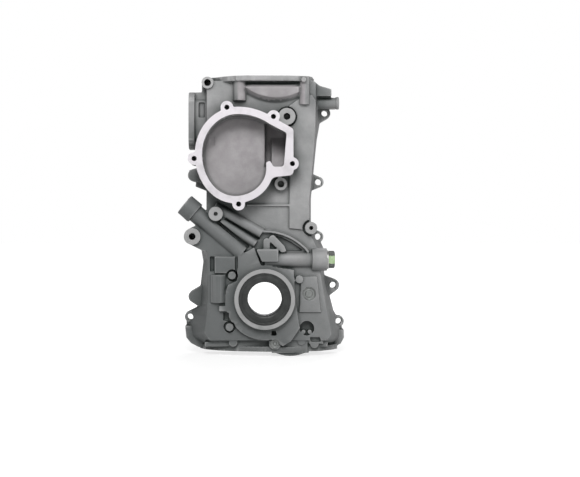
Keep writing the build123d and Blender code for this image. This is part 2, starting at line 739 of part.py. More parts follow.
# ================================================================ crank seal, turned about the crank axis
seal_case_radius = seal_radius - seal_jacket
flange_back = seal_front - seal_jacket - seal_case_wall

with BuildPart() as crank_seal_case:
    with BuildSketch(Plane.XY):
        with BuildLine():
            Polyline(
                (seal_case_radius, -seal_back - 0.4),
                (seal_case_radius, -flange_back - seal_case_wall),
                (seal_case_hole, -flange_back - seal_case_wall),
                (seal_case_hole, -flange_back),
                (seal_case_radius - seal_case_wall, -flange_back),
                (seal_case_radius - seal_case_wall, -seal_back - 0.4),
                close=True,
            )
        make_face()
    revolve(axis=Axis.Y)
crank_seal_case.part.label = "crank_seal_case"
export_step(crank_seal_case.part, "parts/crank_seal_case.step")

with BuildPart() as crank_seal_lip:
    groove_reach = garter_wire + 0.05
    groove_side = 0.86 * groove_reach
    with BuildSketch(Plane.XY):
        with BuildLine():
            Polyline(
                (garter_radius + groove_reach / 2, -lip_ahead - groove_side),
                (seal_case_hole - 0.3, -flange_back + 0.9),
                (seal_case_hole, -flange_back),
                (seal_case_hole, -flange_back - seal_case_wall),
                (seal_case_radius, -flange_back - seal_case_wall),
                (seal_case_radius, -seal_back - 0.2),
                (seal_radius, -seal_back - 0.2),
                (seal_radius, -seal_front),
                (lip_radius + 1.9, -seal_front),
                (lip_radius + 0.3, -seal_front + 0.7),
                (lip_radius + 0.3, -seal_front + 1.1),
                (lip_radius + 1.7, -seal_front + 1.8),
                (lip_radius + 1.4, -lip_ahead - 1.9),
                (lip_radius, -lip_ahead - 0.8),
                (lip_radius, -lip_ahead),
                (lip_radius + 1.6, -lip_ahead + 1.7),
                (garter_radius + 0.3, -lip_ahead + 1.7),
                (garter_radius + groove_reach / 2, -lip_ahead + groove_side),
            )
            ThreePointArc(
                (garter_radius + groove_reach / 2, -lip_ahead + groove_side),
                (garter_radius - groove_reach, -lip_ahead),
                (garter_radius + groove_reach / 2, -lip_ahead - groove_side),
            )
        make_face()
    revolve(axis=Axis.Y)
crank_seal_lip.part.label = "crank_seal_lip"
export_step(crank_seal_lip.part, "parts/crank_seal_lip.step")

with BuildPart() as crank_seal_spring:
    with BuildSketch(Plane.XY):
        with Locations((garter_radius, -lip_ahead)):
            Circle(garter_wire)
    revolve(axis=Axis.Y)
crank_seal_spring.part.label = "crank_seal_spring"
export_step(crank_seal_spring.part, "parts/crank_seal_spring.step")


# ================================================================ relief valve
def cross_section(x):
    # A plane square to the relief bore, centred on it, whose normal runs along +X.
    return Plane.YZ.offset(x).shift_origin((x, -relief_ahead, relief_z))


valve_end_x = relief_seat_x + valve_length
plug_inner_x = relief_mouth_x - plug_thread_length
plug_seat_x = relief_mouth_x + washer_thick

with BuildPart() as relief_valve:
    with BuildSketch(cross_section(relief_seat_x + 0.02)):
        Circle(relief_bore - valve_fit)
    extrude(amount=valve_length)
    chamfer(relief_valve.edges().group_by(Axis.X)[0], 0.6)
    with BuildSketch(cross_section(valve_end_x + 0.02)):
        Circle(valve_hollow)
    extrude(amount=-(valve_length - valve_crown), mode=Mode.SUBTRACT)
relief_valve.part.label = "relief_valve"
export_step(relief_valve.part, "parts/relief_valve.step")

with BuildPart() as relief_spring:
    spring_start = relief_seat_x + valve_crown + 0.05 + spring_wire / 2
    spring_stop = plug_inner_x + plug_pocket - 0.05 - spring_wire / 2
    spring_run = spring_stop - spring_start
    with BuildLine():
        coil = Helix(
            pitch=spring_run / spring_turns,
            height=spring_run,
            radius=spring_radius,
            center=(spring_start, -relief_ahead, relief_z),
            direction=(1, 0, 0),
        )
    with BuildSketch(Plane(origin=coil @ 0, z_dir=coil % 0)):
        Circle(spring_wire / 2)
    sweep(path=coil)
relief_spring.part.label = "relief_spring"
export_step(relief_spring.part, "parts/relief_spring.step")

with BuildPart() as relief_plug:
    with BuildSketch(cross_section(plug_inner_x)):
        Circle(plug_thread_radius)
    extrude(amount=plug_thread_length + washer_thick)
    with BuildSketch(cross_section(plug_seat_x)):
        RegularPolygon(plug_flats / 2, 6, major_radius=False, rotation=30)
    extrude(amount=plug_head)
    chamfer(relief_plug.faces().sort_by(Axis.X)[-1].edges(), 0.7)
    with BuildSketch(cross_section(plug_inner_x)):
        Circle(plug_pocket)
    extrude(amount=plug_pocket, mode=Mode.SUBTRACT)
relief_plug.part.label = "relief_plug"
export_step(relief_plug.part, "parts/relief_plug.step")

with BuildPart() as relief_plug_washer:
    with BuildSketch(cross_section(relief_mouth_x)):
        Circle(washer_radius)
        Circle(plug_thread_radius + 0.1, mode=Mode.SUBTRACT)
    extrude(amount=washer_thick)
relief_plug_washer.part.label = "relief_plug_washer"
export_step(relief_plug_washer.part, "parts/relief_plug_washer.step")


# ================================================================ plugs, dowels and port seal
def make_cup_plug(place, radius, name):
    # A pressed cup plug with a raised centre, flush with its boss.
    with BuildPart() as plug:
        with BuildSketch(depth(wall_ahead + 1 - cup_plug_thick)):
            with Locations(place):
                Circle(radius)
        extrude(amount=cup_plug_thick)
        with BuildSketch(depth(wall_ahead + 1)):
            with Locations(place):
                Circle(radius - cup_plug_wall)
                Circle(radius - 2.6 * cup_plug_wall, mode=Mode.SUBTRACT)
        extrude(amount=-cup_plug_groove, mode=Mode.SUBTRACT)
    plug.part.label = name
    export_step(plug.part, f"parts/{name}.step")


make_cup_plug(cup_plug_place, cup_plug_radius, "gallery_cup_plug")
make_cup_plug(drain_plug_place, drain_plug_radius, "suction_cup_plug")

for name, place in zip(("upper_dowel", "lower_dowel"), dowel_places):
    # Stepped pins: the thicker end is pressed into the cover until its shoulder is flush.
    with BuildPart() as dowel:
        posts([place], dowel_radius, dowel_sunk - dowel_length, 0)
        posts([place], dowel_grip_radius, 0, dowel_sunk)
        ends = dowel.edges().filter_by(GeomType.CIRCLE).group_by(Axis.Y)
        chamfer(ends[0] + ends[-1], 0.6)
    dowel.part.label = name
    export_step(dowel.part, f"parts/{name}.step")

with BuildPart() as coolant_port_seal:
    with BuildSketch(depth(port_seal_groove)) as frame_face:
        port_frame(port_seal_width * 2 - 0.05, port_seal_width - 0.1)
    extrude(frame_face.sketch, amount=-port_seal_thick)
coolant_port_seal.part.label = "coolant_port_seal"
export_step(coolant_port_seal.part, "parts/coolant_port_seal.step")
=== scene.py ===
import math
import bmesh
import bpy
from mathutils import Matrix, Vector


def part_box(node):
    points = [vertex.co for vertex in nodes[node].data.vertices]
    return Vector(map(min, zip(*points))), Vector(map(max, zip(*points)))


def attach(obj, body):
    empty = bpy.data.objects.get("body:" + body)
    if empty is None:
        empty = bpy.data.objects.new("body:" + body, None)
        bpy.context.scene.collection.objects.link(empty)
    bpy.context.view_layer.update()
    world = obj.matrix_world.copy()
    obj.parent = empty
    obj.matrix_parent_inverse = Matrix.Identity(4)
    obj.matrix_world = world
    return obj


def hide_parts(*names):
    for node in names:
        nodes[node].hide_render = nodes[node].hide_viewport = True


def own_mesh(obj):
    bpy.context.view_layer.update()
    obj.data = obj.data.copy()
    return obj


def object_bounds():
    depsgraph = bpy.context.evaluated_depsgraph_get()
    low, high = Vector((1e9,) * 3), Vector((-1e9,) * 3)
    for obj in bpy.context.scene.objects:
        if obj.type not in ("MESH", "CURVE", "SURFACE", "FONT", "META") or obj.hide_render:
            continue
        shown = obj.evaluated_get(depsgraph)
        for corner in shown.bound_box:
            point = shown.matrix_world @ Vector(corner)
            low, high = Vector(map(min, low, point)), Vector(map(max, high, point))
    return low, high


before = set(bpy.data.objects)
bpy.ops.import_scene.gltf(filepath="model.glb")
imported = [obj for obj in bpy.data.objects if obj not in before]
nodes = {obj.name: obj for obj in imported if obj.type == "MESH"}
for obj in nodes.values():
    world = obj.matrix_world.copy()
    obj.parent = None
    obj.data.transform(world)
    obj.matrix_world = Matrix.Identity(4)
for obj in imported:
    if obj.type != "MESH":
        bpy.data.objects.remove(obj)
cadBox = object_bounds()
print("frame loaded with", len(nodes), "nodes")


# sizes are the millimetres that the part is drawn in, and ahead is the depth in front of the rear face
def spot(x, z, ahead):
    return Vector((x, -ahead, z)) / 1000


def addObject(name, data):
    made = bpy.data.objects.new(name, data)
    bpy.context.scene.collection.objects.link(made)
    return made


def newPiece(name, bm):
    mesh = bpy.data.meshes.new(name)
    bmesh.ops.recalc_face_normals(bm, faces=bm.faces)
    bm.to_mesh(mesh)
    bm.free()
    return addObject(name, mesh)


def addBetween(bm, first, last):
    # a solid between two loops, each with the same count of places
    near = [bm.verts.new(place) for place in first]
    far = [bm.verts.new(place) for place in last]
    bm.faces.new(near)
    bm.faces.new(far[::-1])
    for i in range(len(near)):
        j = (i + 1) % len(near)
        bm.faces.new((near[j], near[i], far[i], far[j]))


def addPrism(bm, outline, start, stop):
    # a solid between two depths, from an outline of (x, z) points
    addBetween(bm, [spot(x, z, start) for x, z in outline], [spot(x, z, stop) for x, z in outline])


def addPlate(bm, outline, bottom, top):
    # a level plate between two heights, from an outline of (x, ahead) points
    addBetween(bm, [spot(x, bottom, ahead) for x, ahead in outline],
               [spot(x, top, ahead) for x, ahead in outline])


def circlePoints(x, z, radius, count=48, startTurn=0):
    turns = [startTurn + 2 * math.pi * i / count for i in range(count)]
    return [(x + radius * math.cos(t), z + radius * math.sin(t)) for t in turns]


def addPost(bm, place, radius, start, stop, count=48):
    addPrism(bm, circlePoints(*place, radius, count), start, stop)


def addRod(bm, start, stop, radius, count=48):
    # a round bar between two points given as (x, z, ahead)
    a, b = spot(*start), spot(*stop)
    run = b - a
    turn = run.to_track_quat("Z", "Y").to_matrix().to_4x4()
    made = bmesh.ops.create_cone(bm, cap_ends=True, segments=count, radius1=radius / 1000,
                                 radius2=radius / 1000, depth=run.length)
    bmesh.ops.transform(bm, matrix=Matrix.Translation((a + b) / 2) @ turn, verts=made["verts"])


def addBox(bm, low, high):
    # low and high are (x, z, ahead)
    (x0, z0, a0), (x1, z1, a1) = low, high
    addPrism(bm, [(x0, z0), (x1, z0), (x1, z1), (x0, z1)], a0, a1)


def meshOf(piece):
    # what a piece looks like with its modifiers or its bevel, as a mesh
    view = bpy.context.evaluated_depsgraph_get()
    return bpy.data.meshes.new_from_object(piece.evaluated_get(view))


def settle(piece):
    # takes a piece's modifiers into its mesh
    done = meshOf(piece)
    piece.modifiers.clear()
    piece.data = done


def combine(piece, tool, way):
    cut = piece.modifiers.new("combine", "BOOLEAN")
    cut.operation = way
    cut.solver = "MANIFOLD"
    cut.object = tool
    settle(piece)
    bpy.data.objects.remove(tool)


def softShade(piece, angle=32):
    piece.data.shade_smooth()
    piece.data.set_sharp_from_angle(angle=math.radians(angle))


def addLathe(bm, centre, direction, profile, count=64):
    # turns (radius, along) pairs about an axis; it is a ring unless the first radius is 0
    origin = spot(*centre)
    turn = Vector(direction).to_track_quat("Z", "Y").to_matrix().to_4x4()
    rings = []
    for radius, along in profile:
        if radius == 0:
            rings.append([bm.verts.new(origin + turn @ Vector((0, 0, along / 1000)))])
            continue
        ring = []
        for i in range(count):
            t = 2 * math.pi * i / count
            local = Vector((radius * math.cos(t), radius * math.sin(t), along)) / 1000
            ring.append(bm.verts.new(origin + turn @ local))
        rings.append(ring)
    pairs = list(zip(rings, rings[1:]))
    if len(rings[0]) > 1:
        pairs.append((rings[-1], rings[0]))
    for first, second in pairs:
        for i in range(count):
            j = (i + 1) % count
            corners = [first[i % len(first)], first[j % len(first)]]
            corners += [second[j % len(second)], second[i % len(second)]]
            kept = [c for k, c in enumerate(corners) if c not in corners[:k]]
            if len(kept) > 2:
                bm.faces.new(kept)


def makeWire(name, places, radius, ring=False):
    # round wire along a line of places
    wire = bpy.data.curves.new(name, "CURVE")
    wire.dimensions = "3D"
    wire.bevel_depth = radius / 1000
    wire.bevel_resolution = 1
    wire.use_fill_caps = not ring
    spline = wire.splines.new("POLY")
    spline.points.add(len(places) - 1)
    spline.use_cyclic_u = ring
    for point, place in zip(spline.points, places):
        point.co = (*place, 1)
    line = addObject(name, wire)
    mesh = meshOf(line)
    bpy.data.objects.remove(line)
    return addObject(name, mesh)


# materials are built from the same few node helpers
def startMaterial(name):
    mat = bpy.data.materials.new(name)
    mat.use_nodes = True
    mat.node_tree.nodes.clear()
    shader = addNode(mat, "BsdfPrincipled", {})
    addNode(mat, "OutputMaterial", {"Surface": shader.outputs[0]})
    return mat, shader


def addNode(mat, kind, inputs, **settings):
    node = mat.node_tree.nodes.new("ShaderNode" + kind)
    for key, value in settings.items():
        setattr(node, key, value)
    for key, value in inputs.items():
        if isinstance(value, bpy.types.NodeSocket):
            mat.node_tree.links.new(value, node.inputs[key])
        else:
            node.inputs[key].default_value = value
    return node


def placeOn(mat):
    return addNode(mat, "TexCoord", {}).outputs["Object"]


def mathOf(mat, operation, *values):
    return addNode(mat, "Math", dict(enumerate(values)), operation=operation).outputs[0]


def vectorOf(mat, operation, *values):
    return addNode(mat, "VectorMath", dict(enumerate(values)), operation=operation).outputs["Value"]


def noiseOf(mat, size, detail=4, roughness=0.55):
    # a noise whose lumps are about size millimetres across
    made = addNode(mat, "TexNoise", {"Vector": placeOn(mat), "Scale": 1000 / size, "Detail": detail,
                                     "Roughness": roughness})
    return made.outputs["Fac"]


def waveScale(spacing):
    # a wave node's scale for bands this many millimetres apart
    return 100 * math.pi / spacing


def stretch(mat, value, low, high, toLow=0.0, toHigh=1.0):
    made = addNode(mat, "MapRange", {"Value": value, "From Min": low, "From Max": high,
                                     "To Min": toLow, "To Max": toHigh})
    return made.outputs["Result"]


def mixColour(mat, share, first, second):
    made = addNode(mat, "Mix", {}, data_type="RGBA")
    for key, value in (("Factor", share), ("A", first), ("B", second)):
        socket = [s for s in made.inputs if s.name == key and s.enabled][0]
        if isinstance(value, bpy.types.NodeSocket):
            mat.node_tree.links.new(value, socket)
        else:
            socket.default_value = (*value, 1)
    return [s for s in made.outputs if s.enabled][0]


def addBump(mat, shader, layers, last=None):
    # layers are (height, strength, distance in mm), laid one on another
    for height, strength, distance in layers:
        inputs = {"Height": height, "Strength": strength, "Distance": distance / 1000}
        if last:
            inputs["Normal"] = last
        last = addNode(mat, "Bump", inputs).outputs["Normal"]
    mat.node_tree.links.new(last, shader.inputs["Normal"])


def feed(mat, shader, **values):
    for name, value in values.items():
        socket = shader.inputs[name.replace("_", " ")]
        if isinstance(value, bpy.types.NodeSocket):
            mat.node_tree.links.new(value, socket)
        elif isinstance(value, tuple):
            socket.default_value = (*value, 1)
        else:
            socket.default_value = value


def nodeRounding(mat, radius):
    # light catches the edges of pieces that keep the part's own sharp corners
    return addNode(mat, "Bevel", {"Radius": radius / 1000}, samples=4).outputs["Normal"]


castSkinLook = {
    "pale": (0.44, 0.435, 0.44),
    "dull": (0.32, 0.325, 0.325),
    "cloudSize": 26.0,
    "mottleSize": 5.0,
    "mottleShare": 0.45,
    "foot": (0.120, 0.130, 0.130),       # painted shade: the skin is darker towards the foot and the oil pipe's side, and in the painted shadow patches
    "shadeWay": (0.8, 0.0, 0.6),
    "shadeStart": 72.0,
    "shadeEnd": -8.0,
    "shadeShare": 0.86,
    "lipTop": -43.0,                     # the pan flange band is lighter again, painted light where it stands forward in the light
    "lipFade": 6.0,
    "lipShare": 0.55,
    "shadowPatches": [((53, 201, 30), 24, 0.75), ((8, 192, 30), 26, 0.35)],   # painted shadow patches under the head flange's right shoulder and under the crescent pad: place, reach, share
    "shadowPatchCore": 0.35,
    # dark colour for the painted shade in corners and recesses, and for the casting's grain specks
    "crevice": (0.026, 0.034, 0.031),
    "cornerShadeReaches": [(16.0, 0.3), (3.0, 0.35)],   # painted shade in corners and recesses: its reach, and how closed a corner it fills wholly
    "cornerShadeShare": 0.95,
    "edge": (0.62, 0.62, 0.62),
    "edgeShare": 0.5,
    "grainSize": 0.9,
    "grainShare": 0.12,
    "grainDepth": 0.10,
    "roughLow": 0.50,
    "roughHigh": 0.66,
    "metallic": 0.15,
}


def makeCastSkin(name, look):
    mat, shader = startMaterial(name)
    where = placeOn(mat)
    cloud = stretch(mat, noiseOf(mat, look["cloudSize"], 5), 0.35, 0.65)
    speck = stretch(mat, noiseOf(mat, look["grainSize"], 4, 0.7), 0.3, 0.7)
    mottle = stretch(mat, noiseOf(mat, look["mottleSize"], 5, 0.65), 0.3, 0.75, 0.0, look["mottleShare"])
    colour = mixColour(mat, mottle, mixColour(mat, cloud, look["pale"], look["dull"]), look["dull"])
    # painted shade: the colour darkens towards the foot and the oil pipe's side
    way = vectorOf(mat, "DOT_PRODUCT", where, look["shadeWay"])
    low = stretch(mat, way, look["shadeStart"] / 1000, look["shadeEnd"] / 1000, 0.0, look["shadeShare"])
    colour = mixColour(mat, low, colour, look["foot"])
    # painted light: the painted shade is taken back on the pan flange band
    height = vectorOf(mat, "DOT_PRODUCT", where, (0, 0, 1))
    lipTop, lipLow = look["lipTop"] / 1000, (look["lipTop"] - look["lipFade"]) / 1000
    colour = mixColour(mat, stretch(mat, height, lipTop, lipLow, 0.0, look["lipShare"]), colour, look["dull"])
    # painted shadow: dark patches where shade falls by the shoulder and under the crescent pad
    for place, reach, share in look["shadowPatches"]:
        away = vectorOf(mat, "DISTANCE", where, tuple(spot(*place)))
        stain = stretch(mat, away, reach * look["shadowPatchCore"] / 1000, reach / 1000, share, 0.0)
        colour = mixColour(mat, stain, colour, look["foot"])
    colour = mixColour(mat, stretch(mat, speck, 0, 1, look["grainShare"], 0.0), colour, look["crevice"])
    # painted shade: ambient occlusion darkens corners, recesses and the foot of walls
    for reach, closed in look["cornerShadeReaches"]:
        openness = addNode(mat, "AmbientOcclusion", {"Distance": reach / 1000}, samples=12).outputs["AO"]
        cornerShadeMask = stretch(mat, openness, closed, 0.97, look["cornerShadeShare"], 0.0)
        colour = mixColour(mat, cornerShadeMask, colour, look["crevice"])
    sharp = addNode(mat, "NewGeometry", {}).outputs["Pointiness"]
    colour = mixColour(mat, stretch(mat, sharp, 0.515, 0.58, 0.0, look["edgeShare"]), colour, look["edge"])
    rough = stretch(mat, cloud, 0, 1, look["roughLow"], look["roughHigh"])
    feed(mat, shader, Base_Color=colour, Roughness=rough, Metallic=look["metallic"])
    lumps = noiseOf(mat, look["grainSize"] * 5, 3)
    addBump(mat, shader, [(lumps, 0.5, look["grainDepth"] * 2), (speck, 0.6, look["grainDepth"])])
    return mat


machinedLook = {"face": (0.80, 0.765, 0.80), "stain": (0.60, 0.58, 0.60), "cutterPitch": 3.167,
                "groove": 0.02, "roughness": 0.42, "metallic": 0.2}


def makeMachined(name, look):
    # the cutter leaves faint rings
    mat, shader = startMaterial(name)
    rings = addNode(mat, "TexWave", {"Vector": placeOn(mat), "Scale": waveScale(look["cutterPitch"]),
                                     "Distortion": 1.5, "Detail": 2}, wave_type="RINGS").outputs["Fac"]
    cloud = stretch(mat, noiseOf(mat, 14, 4), 0.5, 0.8)
    colour = mixColour(mat, cloud, look["face"], look["stain"])
    rough = stretch(mat, noiseOf(mat, 3, 3), 0.3, 0.7, look["roughness"] - 0.06, look["roughness"] + 0.08)
    feed(mat, shader, Base_Color=colour, Roughness=rough, Metallic=look["metallic"])
    addBump(mat, shader, [(rings, 0.4, look["groove"])])
    return mat


boreLook = {"face": (0.17, 0.18, 0.175), "stain": (0.07, 0.075, 0.07), "ringPitch": 7.854, "ringDepth": 0.30,
            "roughness": 0.5, "metallic": 0.6}


def makeBore(name, look):
    # soft rings along the drilling direction; the dark colour is painted shade inside the holes
    mat, shader = startMaterial(name)
    rings = addNode(mat, "TexWave", {"Vector": placeOn(mat), "Scale": waveScale(look["ringPitch"])},
                    wave_type="BANDS", bands_direction="Y").outputs["Fac"]
    cloud = stretch(mat, noiseOf(mat, 5, 4), 0.35, 0.75)
    colour = mixColour(mat, cloud, look["face"], look["stain"])
    rough = stretch(mat, noiseOf(mat, 2, 3), 0.3, 0.7, look["roughness"] - 0.08, look["roughness"] + 0.1)
    feed(mat, shader, Base_Color=colour, Roughness=rough, Metallic=look["metallic"])
    addBump(mat, shader, [(rings, 0.6, look["ringDepth"])])
    return mat


def makeMetal(name, face, stain, roughness, grain=1.5, metallic=1.0, depth=0.03, rounding=0.3):
    mat, shader = startMaterial(name)
    cloud = stretch(mat, noiseOf(mat, grain * 8, 4), 0.35, 0.7)
    speck = noiseOf(mat, grain, 3, 0.65)
    colour = mixColour(mat, cloud, face, stain)
    sharp = addNode(mat, "NewGeometry", {}).outputs["Pointiness"]
    bright = tuple(min(c * 1.5, 0.9) for c in face)
    worn = mixColour(mat, stretch(mat, sharp, 0.52, 0.6, 0.0, 0.4), colour, bright)
    rough = stretch(mat, speck, 0.3, 0.7, roughness - 0.07, roughness + 0.09)
    feed(mat, shader, Base_Color=worn, Roughness=rough, Metallic=metallic)
    addBump(mat, shader, [(speck, 0.35, depth)], nodeRounding(mat, rounding))
    return mat


plugLook = {"steel": (0.20, 0.21, 0.20), "stain": (0.10, 0.11, 0.10), "litGreen": (0.42, 0.60, 0.30),
            "litGreenPale": (0.56, 0.70, 0.46), "axisHeight": 39.0, "litGreenReach": 4.6, "litGreenRagged": 1.6,
            "litGreenEdge": 0.4, "roughness": 0.42}


def makePlugSteel():
    # green-plated steel whose green shows only on the middle band of the head, as tall as its front and back
    # flats, as painted light; the slanted flats above and below are dark steel, painted shade
    look = plugLook
    mat, shader = startMaterial("plugSteel")
    cloud = stretch(mat, noiseOf(mat, 6, 4), 0.35, 0.7)
    steel = mixColour(mat, cloud, look["steel"], look["stain"])
    paint = mixColour(mat, stretch(mat, noiseOf(mat, 3, 4), 0.4, 0.65), look["litGreen"], look["litGreenPale"])
    # painted light and shade: pale green on the band of the front and back flats, dark steel on the slanted
    # flats
    height = addNode(mat, "SeparateXYZ", {"Vector": placeOn(mat)}).outputs["Z"]
    off = mathOf(mat, "ABSOLUTE", mathOf(mat, "SUBTRACT", height, look["axisHeight"] / 1000))
    ragged = mathOf(mat, "MULTIPLY", noiseOf(mat, 2.5, 3), look["litGreenRagged"] / 1000)
    off = mathOf(mat, "ADD", off, ragged)
    inside, outside = look["litGreenReach"] - look["litGreenEdge"], look["litGreenReach"] + look["litGreenEdge"]
    greenBand = stretch(mat, off, inside / 1000, outside / 1000, 1.0, 0.0)
    feed(mat, shader, Base_Color=mixColour(mat, greenBand, steel, paint), Roughness=look["roughness"],
         Metallic=stretch(mat, greenBand, 0, 1, 0.8, 0.0))
    speck = noiseOf(mat, 0.8, 3)
    addBump(mat, shader, [(speck, 0.3, 0.03)], nodeRounding(mat, 0.4))
    return mat


rubberLook = {"black": (0.014, 0.016, 0.0155), "bloom": (0.040, 0.044, 0.042), "roughness": 0.52}


def makeRubber():
    look = rubberLook
    mat, shader = startMaterial("blackRubber")
    bloom = stretch(mat, noiseOf(mat, 7, 4), 0.4, 0.8)
    fine = noiseOf(mat, 0.5, 3)
    feed(mat, shader, Base_Color=mixColour(mat, bloom, look["black"], look["bloom"]),
         Roughness=stretch(mat, bloom, 0, 1, look["roughness"] - 0.08, look["roughness"] + 0.12))
    addBump(mat, shader, [(fine, 0.3, 0.05)])
    return mat


# a paler copy of the cast skin with shorter painted shade, painted light where the light falls
litSkinLook = dict(castSkinLook, pale=(0.44, 0.42, 0.43), dull=(0.36, 0.34, 0.35),
                       foot=(0.36, 0.345, 0.35), shadowPatches=[], cloudSize=12.0,
                       cornerShadeReaches=[(5.0, 0.3), (3.0, 0.35)])
seatLook = dict(machinedLook, face=(0.40, 0.40, 0.40), stain=(0.26, 0.27, 0.265), roughness=0.45)
castSkin = makeCastSkin("castAluminiumSkin", castSkinLook)
litSkin = makeCastSkin("litCastSkin", litSkinLook)
machinedFace = makeMachined("machinedGasketFace", machinedLook)
machinedSeat = makeMachined("machinedSeat", seatLook)
machinedBore = makeBore("tappedHole", boreLook)
groundSteel = makeMetal("groundSteel", (0.56, 0.56, 0.55), (0.42, 0.42, 0.41), 0.32)
sinteredSteel = makeMetal("sinteredSteel", (0.30, 0.30, 0.31), (0.20, 0.20, 0.21), 0.42, grain=0.6, depth=0.05)
springSteel = makeMetal("springSteel", (0.42, 0.42, 0.42), (0.30, 0.30, 0.30), 0.30, grain=0.8)
darkSteel = makeMetal("phosphatedSteel", (0.16, 0.16, 0.165), (0.09, 0.09, 0.095), 0.48, grain=0.7)
pressedSteel = makeMetal("pressedSteel", (0.30, 0.31, 0.30), (0.20, 0.21, 0.205), 0.42, metallic=0.6)
sealSteel = makeMetal("sealSteel", (0.045, 0.050, 0.048), (0.030, 0.034, 0.032), 0.5, metallic=0.3)
softWasher = makeMetal("softWasher", (0.50, 0.50, 0.49), (0.36, 0.36, 0.35), 0.45)
plugSteel = makePlugSteel()
blackRubber = makeRubber()
print("materials made")


# the cover is a raw casting with rounded edges first, and then the machining leaves crisp bright faces
skin = {"voxel": 0.6, "quickVoxel": 1.4, "rounding": 3, "triangles": 190000, "stock": 1.4, "near": 0.05,
        "filler": 0.6}

gasketFace = 58.0      # ahead of the rear face
headFace = 221.0       # above the crankshaft's axis
panFace = -53.0
inletFace = -76.0      # to the side of the crankshaft's axis
sealFace = 48.0
milledPlanes = [(Vector((0, -1, 0)), gasketFace), (Vector((0, 1, 0)), 0.0), (Vector((0, 0, 1)), headFace),
                (Vector((0, 0, -1)), -panFace), (Vector((-1, 0, 0)), -inletFace)]
bosses = [  # place, reach of the face, its depth, hole radius, hole depth
    ((-48.5, 84.5), 9, 46, 2.1, 5), ((22, 181), 9.5, 44, 3.4, 12), ((16, 114), 8, 44, 3.4, 12),
    ((46, 70.5), 8, 44, 2.1, 16), ((-72, 62), 10, 42, 3.4, 22), ((-56.9, 215), 8, 40, 3.4, 20),
]
bossFaces = [((0, 0), 32, sealFace)] + [boss[:3] for boss in bosses]
gasketHoles = {"places": [(-37, 188.5), (8.5, 179.5), (27, 133.5), (-25.5, 94), (-69, 138.5)],
               "radius": 2.5, "deep": 18}
drilled = [(place, gasketHoles["radius"], gasketFace, gasketHoles["deep"]) for place in gasketHoles["places"]]
drilled += [(place, radius, face, deep) for place, reach, face, radius, deep in bosses]
railHoles = {"places": [(61.5, 187.5), (55, 117), (54.5, 61), (70, 11.5), (75.5, -25.5), (-76, -21)],
             "radius": 3.2, "deep": 9}
reamed = [  # start, stop and radius of the holes that run level or upright
    ((-31.5, -54, 24), (-31.5, -41, 24), 2.5), ((49.5, -54, 24), (49.5, -41, 24), 2.5),
    ((-61, -54, 6), (-61, -41, 6), 2.5), ((67, -54, 6), (67, -41, 6), 2.5),
    ((25, -58.5, 26), (25, -38, 26), 6.5), ((-25, 222, 38), (-25, 201, 38), 3.4),
    ((39.5, 222, 38), (39.5, 201, 38), 3.4), ((46, 196.3, 22), (76, 196.3, 22), 3.5),
]

# what the casting has besides the part's plain solid
voluteSlotFill = {"low": (-56.3, 151.2, 24), "high": (-48.8, 163.8, 33.3)}   # the slot is only a shallow mark
stubWeb = {"outline": [(52, 192), (52, 206), (66.5, 206), (66.5, 199), (73, 197), (73, 192)],
           "depths": (2, 25)}
footCorners = {
    "outlines": [
        [(-81.3, -30), (-80, -42), (-75.5, -47.5), (-68, -51.5), (-58, -54), (-58, -48), (-66, -46.5),
         (-73.5, -40), (-75.5, -30)],
        [(81, -34), (81.2, -42), (78, -48), (72, -51.5), (60, -54), (60, -48.5), (70, -46.5), (75.5, -40),
         (76, -34)],
    ],
    "depths": (0, 12),
}
panBand = {"low": (-60, -48.5, 20), "high": (63, -43.8, 33.5)}
panLip = {
    "outline": [(-66, 8), (-60, 19), (-46, 28), (-28, 34), (0, 37.5), (28, 37.5), (54, 33), (70, 20),
                (74, 10), (70, 5), (60, 6), (60, 18.2), (-58, 18.2), (-58, 6)],
    "heights": (-54.4, -48),
}
headMarks = {"places": [(-26.5, 218.4), (38.6, 217.2)], "radius": 2.6, "depths": (38, 46.3)}


def isNear(value, target, gap=0.02):
    return abs(value * 1000 - target) < gap


def flatPlace(centre):
    return centre.x * 1000, centre.z * 1000


def onBoss(centre, gap=0.02):
    return any(isNear(-centre.y, level, gap) and math.dist(flatPlace(centre), place) < reach
               for place, reach, level in bossFaces)


